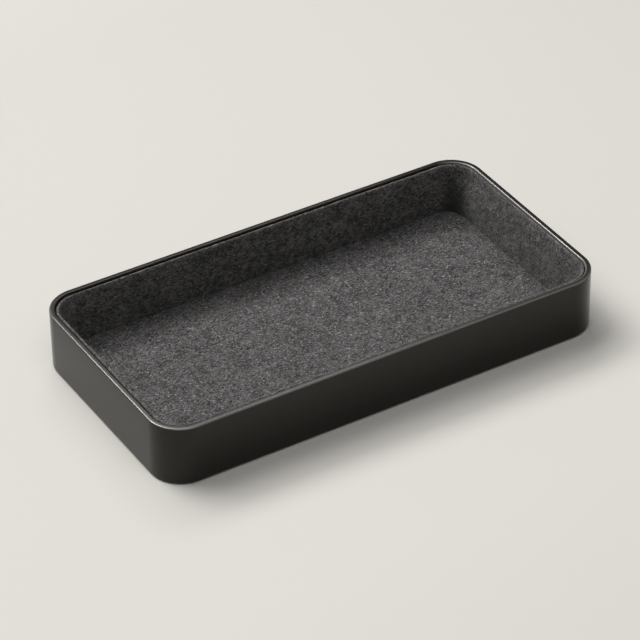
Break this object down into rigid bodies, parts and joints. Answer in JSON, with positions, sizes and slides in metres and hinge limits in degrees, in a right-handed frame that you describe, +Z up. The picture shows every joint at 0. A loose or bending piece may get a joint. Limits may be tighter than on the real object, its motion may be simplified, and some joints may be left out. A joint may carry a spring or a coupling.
{
  "type": "desk tray",
  "caption": "Shallow rounded rectangular desk tray with a thin satin metal wall and a lift-out liner of charcoal felt.",
  "frame": {"origin": "on the table, under the middle of the tray", "axes": "+X along the long side, +Y across the tray towards the side whose wall lining holds the seam, +Z up"},
  "size_m": [0.24, 0.125, 0.032],
  "materials": {
    "shell_metal": "dark grey to black satin anodised coat",
    "foot_rubber": "matt",
    "carrier_plastic": "matt",
    "board": "matt",
    "felt": "heathered charcoal grey felt"
  },
  "bodies": {
    "shell": {"outer_shell": "shell_metal", "foot_front_left": "foot_rubber", "foot_front_right": "foot_rubber", "foot_back_left": "foot_rubber", "foot_back_right": "foot_rubber"},
    "liner": {"liner_carrier": "carrier_plastic", "floor_board": "board", "floor_felt": "felt", "wall_felt": "felt"}
  },
  "joints": [
    {"name": "liner_lift", "type": "slide", "parent": "shell", "child": "liner", "axis": [0, 0, 1], "range_m": [0, 0.035]}
  ]
}
